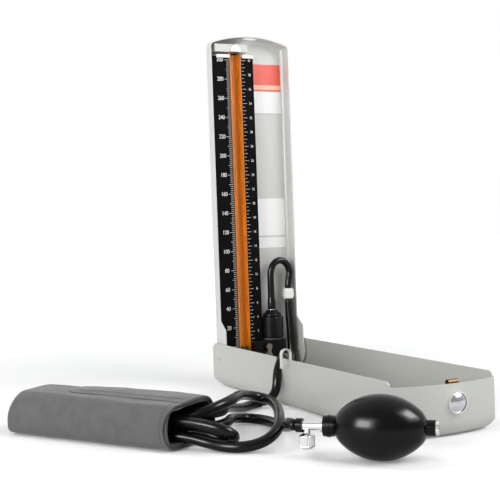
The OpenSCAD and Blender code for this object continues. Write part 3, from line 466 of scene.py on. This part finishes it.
def outline(inset, count=132):
    """Points, normals and run round the roll's end view, from the near edge of the top."""
    w, h = CUFF_W - 2 * inset, CUFF_T - 2 * inset
    rn, rf = max(NEAR_R - inset, 1.2), max(FAR_R - inset, 1.2)
    # straight and curved runs: top to the far side, down, back along the bottom, up the front
    runs = [("l", (rn, h), (w - rf, h)), ("a", (w - rf, h - rf), rf, 90, 0),
            ("l", (w, h - rf), (w, rf)), ("a", (w - rf, rf), rf, 0, -90),
            ("l", (w - rf, 0), (rn, 0)), ("a", (rn, rn), rn, -90, -180),
            ("l", (0, rn), (0, h - rn)), ("a", (rn, h - rn), rn, 180, 90)]
    sizes = [math.dist(r[1], r[2]) if r[0] == "l" else r[2] * math.pi / 2 for r in runs]
    total = sum(sizes)
    pts = []
    for k in range(count):
        s = total * k / count
        for r, size in zip(runs, sizes):
            if s <= size:
                break
            s -= size
        f = s / size
        if r[0] == "l":
            x, y = (a + (b - a) * f for a, b in zip(r[1], r[2]))
            dx, dy = r[2][0] - r[1][0], r[2][1] - r[1][1]
            n = Vector((-dy, dx)).normalized()
        else:
            a = math.radians(r[3] + (r[4] - r[3]) * f)
            x, y = r[1][0] + r[2] * math.cos(a), r[1][1] + r[2] * math.sin(a)
            n = Vector((math.cos(a), math.sin(a)))
        pts.append((x + inset, y + inset, n, total * k / count))
    return pts


def ripple(a, b, seed):
    """Slow uneven swell of cloth, -1 to 1."""
    return (math.sin(a * 0.043 + seed) * math.sin(b * 0.071 + 1.7 * seed)
            + 0.5 * math.sin(a * 0.11 + b * 0.05 + 2.3 * seed)
            + 0.3 * math.sin(b * 0.23 - a * 0.07 + seed)) / 1.8


def on_cuff(a, n, z):
    """Place a point of the roll: its front leans back toward the closed end, which is drawn in."""
    lean = max(0.0, min(1.0, -a / CUFF_L)) ** 0.8
    n += LEAN * lean * max(0.0, (z - 9) / 24.5) ** 2.4 * max(0.0, 1 - n / 40)
    z += RISE * max(0.0, (z - 10) / 23.5) * min(1.0, n / 34)
    back = max(0.0, (-CUFF_L + PINCH - a) / PINCH)
    squeeze = math.sqrt(max(0.0, 1 - back * back))
    z = 14 + (z - 14) * (0.86 + 0.14 * squeeze) if z > 14 else z
    a -= 2.5 * lean ** 4
    n = 29 + (n - 29) * (0.95 + 0.05 * squeeze)
    q = CUFF_AT + a * CUFF_A + n * CUFF_N
    return Vector((q.x, q.y, CUFF_AT.z + z)) * MM


def set_back(n, z):
    """How much of its setback the mouth's edge has: all at half height in front, none behind."""
    return max(0.0, 1 - ((z - 15) / 16) ** 2) * max(0.0, 1 - n / 14)


class Cloth:
    """Collects the plies of the roll in one mesh with a weave map."""

    def __init__(self):
        self.verts, self.faces, self.uvs, self.index = [], [], [], []

    def sleeve(self, inset, thick, a0, a1, seed, swell, stations, skew):
        """One turn of cloth as a closed tube with an inside, an outside and rolled end edges."""
        out, inn = outline(inset), outline(inset + thick)
        count, span = len(out), a1 - a0 - 2
        # rows of (place along the roll, share of the thickness): out along it, then back inside
        ring = [(a0, 0.5), (a0 + 0.3, 0.12)]
        ring += [(a0 + 1 + span * k / stations, 0.0) for k in range(stations + 1)]
        ring += [(a1 - 0.25, 0.15), (a1, 0.5), (a1 - 0.25, 0.85)]
        ring += [(a1 - 1 - span * k / 24, 1.0) for k in range(25)] + [(a0 + 0.3, 0.88)]
        first = len(self.verts)
        for a, depth in ring:
            mouth = max(0.0, 1 + (a - a1) / 14)
            for (x0, y0, n0, s), (x1, y1, _, _) in zip(out, inn):
                x, y = x0 + (x1 - x0) * depth, y0 + (y1 - y0) * depth
                lift = swell * ripple(a, s, seed) * (1 - depth * 0.4)
                x += lift * n0.x
                y += lift * n0.y * (0.15 if y < 6 else 1)
                self.verts.append(on_cuff(a + skew(x, y) * mouth, x, max(0.0, y)))
                self.uvs.append((a * MM, s * MM))
        for i, (_, depth) in enumerate(ring):
            i2 = (i + 1) % len(ring)
            inside = depth > 0.3 or ring[i2][1] > 0.3
            for j in range(count):
                j2 = (j + 1) % count
                self.faces.append((first + i * count + j, first + i2 * count + j,
                                   first + i2 * count + j2, first + i * count + j2))
                self.index.append(1 if inside else 0)

    def flap(self, inset, thick, a0, a1, s0, s1, seed, across=60):
        """Sheet lying on the roll from s0 to s1 round it, edges rolled over and corners cut round."""
        out, inn = outline(inset - thick), outline(inset)
        upper = [p for p in out if s0 <= p[3] <= s1]
        lower = [p for p, q in zip(inn, out) if s0 <= q[3] <= s1]
        cols = len(upper)
        first = len(self.verts)
        for under in (False, True):
            for i in range(across + 1):
                f = i / across
                for j, ((x0, y0, n0, s), (x1, y1, _, _)) in enumerate(zip(upper, lower)):
                    g = j / (cols - 1)
                    start = a0 + 9 * max(0.0, 1 - (s - s0) / 16) ** 2
                    a = start + (a1 - start) * f
                    edge = min(1.0, 6 * min(g, 1 - g) + 0.12, 9 * min(f, 1 - f) + 0.12)
                    d = 1.0 if under else 1 - math.sqrt(edge)
                    x, y = x0 + (x1 - x0) * d, y0 + (y1 - y0) * d
                    lift = 0.5 * ripple(a, s, SEED) + 0.16 * ripple(a * 2.2, s * 2, seed)
                    if under:
                        lift -= 0.25
                    self.verts.append(on_cuff(a, x + lift * n0.x, y + lift * n0.y))
                    self.uvs.append((s * MM, a * MM))
        per = (across + 1) * cols
        for i in range(across):
            for j in range(cols - 1):
                p = first + i * cols + j
                self.faces.append((p, p + cols, p + cols + 1, p + 1))
                self.index.append(0)
                p += per
                self.faces.append((p, p + 1, p + cols + 1, p + cols))
                self.index.append(1)
        rim = [first + j for j in range(cols)]
        rim += [first + i * cols + cols - 1 for i in range(1, across + 1)]
        rim += [first + across * cols + j for j in range(cols - 2, -1, -1)]
        rim += [first + i * cols for i in range(across - 1, 0, -1)]
        for p, q in zip(rim, rim[1:] + rim[:1]):
            self.faces.append((p, q, q + per, p + per))
            self.index.append(1)

    def stitch(self, p, q, n, width=0.55, height=0.32):
        """Short raised thread from p to q on a face with normal n."""
        side = (q - p).cross(n).normalized() * width / 2 * MM
        lift = n * height * MM
        first = len(self.verts)
        self.verts += [p - side, p + side, q + side, q - side, (p + q) / 2 + lift + (q - p) * 0.3,
                       (p + q) / 2 + lift - (q - p) * 0.3]
        self.uvs += [(0, 0)] * 6
        for f in ((0, 1, 5), (1, 2, 4, 5), (2, 3, 4), (3, 0, 5, 4), (3, 2, 1, 0)):
            self.faces.append(tuple(first + k for k in f))
            self.index.append(2)


cloth = Cloth()
cloth.sleeve(1.0, 1.7, -CUFF_L, 0.0, SEED, 0.55, 64, lambda n, z: -8.5 * set_back(n, z))
cloth.sleeve(3.1, 1.5, -CUFF_L + 2, -1.2, 2.1, 0.4, 30,
             lambda n, z: -6.5 * set_back(n, z) + 0.6 * math.sin(n * 0.2))
cloth.flap(1.0, 1.0, -124, -0.6, 9.0, 72.0, 2.0)
# seam along the flap's free edge
x, y, n, s = [p for p in outline(0.0, 400) if 12 < p[3] < 70][12]
for k in range(44):
    a = -112 + 2.45 * k
    lift = 0.5 * ripple(a, s, SEED) + 0.12
    cloth.stitch(on_cuff(a, x, y + lift), on_cuff(a + 1.7, x, y + lift), Vector((0, 0, 1)))
# seam round the mouth, behind its set-back edge and short of the flap and the underside
ring = outline(1.0, 90)
for (x, y, n, s), (x2, y2, _, _) in zip(ring, ring[1:] + ring[:1]):
    if y < 2 or 9 < s < 72:
        continue
    lift = 0.55 * ripple(-6, s, SEED) + 0.05
    a = -6 - 5 * set_back(x, y)
    p = on_cuff(a, x + lift * n.x, y + lift * n.y)
    q = on_cuff(a, x + (x2 - x) * 0.6 + lift * n.x, y + (y2 - y) * 0.6 + lift * n.y)
    cloth.stitch(p, q, (n.x * CUFF_N + Vector((0, 0, n.y))).normalized())
cuff = new_mesh("cuff_roll_cloth", cloth.verts, cloth.faces, "cuff_cloth", "base",
                uvs=cloth.uvs, materials=("cuff_binding", "stitch"), index=cloth.index)
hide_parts("cuff_roll")

# the flat rubber bladder folded in the middle of the roll: its end shows in the mouth
PLIES = 5.0                              # of cloth round the bladder
half_w, half_h, folds = (CUFF_W - 2 * PLIES) / 2, (CUFF_T - 2 * PLIES) / 2, 96
rows = [(-160.0, 0.35), (-158.0, 0.8), (-154.0, 1.0)] + [(-150 + 12 * k, 1.0) for k in range(10)]
rows += [(-32.0, 1.0), (-28.5, 0.985), (-26.4, 0.93), (-25.3, 0.8), (-24.9, 0.55), (-25.2, 0.3),
         (-25.6, 0.08)]
verts, uvs = [], []
for a, grow in rows:
    for j in range(folds):
        t = 2 * math.pi * j / folds
        c, s = math.cos(t), math.sin(t)
        x = half_w * math.copysign(abs(c) ** 0.45, c)
        z = half_h * math.copysign(abs(s) ** 0.5, s)
        crease = 1 - 0.10 * max(0.0, math.cos(3 * z / half_h * math.pi)) * abs(c) ** 3
        verts.append(on_cuff(a, CUFF_W / 2 + x * grow * crease, CUFF_T / 2 + z * grow))
        uvs.append((a * MM, t * 0.02))
bladder = new_mesh("folded_bladder", verts, skin(len(rows), folds, clockwise=True),
                   "bladder_rubber", "base", uvs=uvs)
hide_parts("cuff_bladder")

# ---------------------------------------------------------------- scale printed on the board
BOARD_Y = 152.0
ZERO, PER_MMHG = 39.3, 0.985
PER_KPA = PER_MMHG * 7.50062
MMHG_EDGE, KPA_EDGE = -23.9, -9.9        # the ticks start here, beside the channel
INK = 0.05


def plate(name, boxes, y, thick, material):
    """Thin raised plates x0, x1, z0, z1 on a face of the lid that looks toward -y."""
    verts, faces = [], []
    e = min(0.04, thick * 0.4)
    for x0, x1, z0, z1 in boxes:
        f = len(verts)
        verts += [Vector(v) * MM for v in (
            (x0, y, z0), (x1, y, z0), (x1, y, z1), (x0, y, z1),
            (x0 + e, y - thick, z0 + e), (x1 - e, y - thick, z0 + e),
            (x1 - e, y - thick, z1 - e), (x0 + e, y - thick, z1 - e))]
        faces += [(f + a, f + b, f + c, f + d) for a, b, c, d in (
            (4, 5, 6, 7), (0, 1, 5, 4), (1, 2, 6, 5), (2, 3, 7, 6), (3, 0, 4, 7), (3, 2, 1, 0))]
    return new_mesh(name, verts, faces, material, "lid", smooth=False)


ticks = []
for mmhg in range(0, 302, 2):
    z = ZERO + PER_MMHG * mmhg
    reach = 5.6 if mmhg % 20 == 0 else 4.6 if mmhg % 10 == 0 else 3.1
    ticks.append((MMHG_EDGE - reach, MMHG_EDGE, z - 0.16, z + 0.16))
plate("mmhg_ticks", ticks, BOARD_Y, INK, "print_white")
ticks = []
for half_kpa in range(0, 81):
    z = ZERO + PER_KPA * half_kpa / 2
    reach = 4.6 if half_kpa % 4 == 0 else 3.6 if half_kpa % 2 == 0 else 2.2
    ticks.append((KPA_EDGE, KPA_EDGE + reach, z - 0.15, z + 0.15))
plate("kpa_ticks", ticks, BOARD_Y, INK, "print_white")


def numbers(name, values, per, x, size, narrow):
    """Plain numerals centred on x at each value's height on the scale, joined in one mesh."""
    verts, faces = [], []
    deps = bpy.context.evaluated_depsgraph_get()
    for value in values:
        font = bpy.data.curves.new("numeral", "FONT")
        font.body = str(value)
        font.size = size
        font.align_x, font.align_y = "CENTER", "CENTER"
        font.extrude = 0.02
        font.space_character = 0.95
        font.resolution_u = 3
        ob = bpy.data.objects.new("numeral", font)
        bpy.context.scene.collection.objects.link(ob)
        deps.update()
        me = ob.evaluated_get(deps).to_mesh()
        first, z = len(verts), ZERO + per * value
        for v in me.vertices:
            verts.append(Vector((x + v.co.x * narrow, BOARD_Y - 0.03 - v.co.z, z + v.co.y)) * MM)
        faces += [tuple(first + i for i in p.vertices) for p in me.polygons]
        ob.evaluated_get(deps).to_mesh_clear()
        bpy.data.objects.remove(ob)
        bpy.data.curves.remove(font)
    return new_mesh(name, verts, faces, "print_white", "lid", smooth=False)


numbers("mmhg_numbers", range(20, 301, 20), PER_MMHG, -34.3, 5.9, 0.84)
numbers("kpa_numbers", range(2, 41, 2), PER_KPA, -1.3, 3.6, 0.85)

# ---------------------------------------------------------------- bare plates on the lid's back
BACK_Y, PLATE = 165.0, 0.12
for name, boxes, material in (
        ("plate_red", [(7, 42.3, 312.2, 334)], "label_red"),
        ("plate_red_low", [(7, 42.3, 305.6, 307.4)], "label_red"),
        ("plate_cream", [(7, 42.3, 307.5, 312.1)], "label_cream"),
        ("plate_white", [(7, 42.3, 282.5, 305.5)], "label_white"),
        ("plate_grey_rule", [(7, 42.3, 281.4, 282.4)], "label_grey"),
        ("plate_lower", [(7, 41, 152.8, 192), (7, 41, 140, 151.2)], "label_white"),
        ("plate_lower_rule", [(7, 41, 151.3, 152.7)], "label_grey")):
    plate(name, boxes, BACK_Y, PLATE, material)

# ---------------------------------------------------------------- floor, light, world
me = bpy.data.meshes.new("floor")
me.from_pydata([(-9, -9, 0), (9, -9, 0), (9, 9, 0), (-9, 9, 0)], [], [(0, 1, 2, 3)])
floor = bpy.data.objects.new("floor", me)
bpy.context.scene.collection.objects.link(floor)
m = bpy.data.materials.new("floor_white")
m.use_nodes = True
nt = m.node_tree
base = nt.nodes["Principled BSDF"]
for key, value in (("Base Color", (0.9, 0.9, 0.9, 1)), ("Roughness", 0.75),
                   ("Specular IOR Level", 0.1), ("Emission Color", (1, 1, 1, 1))):
    base.inputs[key].default_value = value
# for the camera alone it turns to plain white with distance from the object
path = add(nt, "LightPath")
where = add(nt, "TexCoord")
reach = add(nt, "VectorMath", operation="LENGTH")
far = add(nt, "MapRange", {"From Min": 0.35, "From Max": 1.4, "To Min": 0.13, "To Max": 0.62})
glow = add(nt, "Math", operation="MULTIPLY")
nt.links.new(where.outputs["Object"], reach.inputs[0])
nt.links.new(reach.outputs["Value"], far.inputs["Value"])
nt.links.new(path.outputs["Is Camera Ray"], glow.inputs[0])
nt.links.new(far.outputs["Result"], glow.inputs[1])
nt.links.new(glow.outputs[0], base.inputs["Emission Strength"])
floor.data.materials.append(m)

world = bpy.data.worlds.new("studio")
bpy.context.scene.world = world
world.use_nodes = True
nt = world.node_tree
nt.nodes.clear()
out = add(nt, "OutputWorld")
bright = add(nt, "Background", {"Color": (1, 1, 1, 1), "Strength": 1.0})
soft = add(nt, "Background", {"Color": (0.97, 0.985, 1, 1), "Strength": 0.42})
path = add(nt, "LightPath")
most = add(nt, "Math", operation="MAXIMUM")
more = add(nt, "Math", operation="MAXIMUM")
pick = add(nt, "MixShader")
nt.links.new(path.outputs["Is Camera Ray"], most.inputs[0])
nt.links.new(path.outputs["Is Transmission Ray"], most.inputs[1])
nt.links.new(most.outputs[0], more.inputs[0])
# mirror-like surfaces see the white backdrop behind the object and a dim room before it
coord = add(nt, "TexCoord")
toward = add(nt, "VectorMath", {1: (0.35, 0.85, 0.39)}, operation="DOT_PRODUCT")
seen = add(nt, "MapRange", {"From Min": -0.25, "From Max": 0.55}, interpolation_type="SMOOTHSTEP")
both = add(nt, "Math", operation="MULTIPLY")
nt.links.new(coord.outputs["Generated"], toward.inputs[0])
nt.links.new(toward.outputs["Value"], seen.inputs["Value"])
nt.links.new(path.outputs["Is Glossy Ray"], both.inputs[0])
nt.links.new(seen.outputs["Result"], both.inputs[1])
nt.links.new(both.outputs[0], more.inputs[1])
nt.links.new(more.outputs[0], pick.inputs["Fac"])
nt.links.new(soft.outputs[0], pick.inputs[1])
nt.links.new(bright.outputs[0], pick.inputs[2])
nt.links.new(pick.outputs[0], out.inputs["Surface"])


def lamp(name, place, aim, size, power):
    """Area lamp at a place, turned toward its aim."""
    light = bpy.data.lights.new(name, "AREA")
    light.shape = "RECTANGLE"
    light.size, light.size_y = size
    light.energy = power
    ob = bpy.data.objects.new(name, light)
    bpy.context.scene.collection.objects.link(ob)
    ob.location = place
    ob.rotation_euler = (Vector(aim) - Vector(place)).to_track_quat("-Z", "Y").to_euler()
    return ob


lamp("softbox_left", (-1.45, -0.55, 0.55), (-0.05, -0.05, 0.08), (1.2, 0.9), 14)
lamp("softbox_right", (0.75, -0.95, 1.05), (-0.03, 0.0, 0.1), (1.1, 0.9), 14)
# cards that only polished surfaces see
CARD_AIM, CARD_REACH, CARD_POWER = (-0.08, -0.21, 0.03), 1.45, 24 * math.pi
for name, way, size in (("card_left", (-0.926, -0.225, 0.31), (0.70, 0.50)),
                        ("card_right", (0.548, -0.461, 0.69), (0.62, 0.46))):
    place = Vector(CARD_AIM) + CARD_REACH * Vector(way)
    lamp(name, place, CARD_AIM, size, CARD_POWER * size[0] * size[1]).visible_diffuse = False
sun = bpy.data.lights.new("window", "SUN")
sun.energy, sun.angle = 0.75, math.radians(22)
ob = bpy.data.objects.new("window", sun)
bpy.context.scene.collection.objects.link(ob)
ob.rotation_euler = Vector((0.42, -0.62, -0.78)).to_track_quat("-Z", "Y").to_euler()
ob.visible_glossy = False

scene = bpy.context.scene
scene.view_settings.view_transform = "Standard"
scene.view_settings.look = "None"
scene.render.resolution_x = scene.render.resolution_y = 500
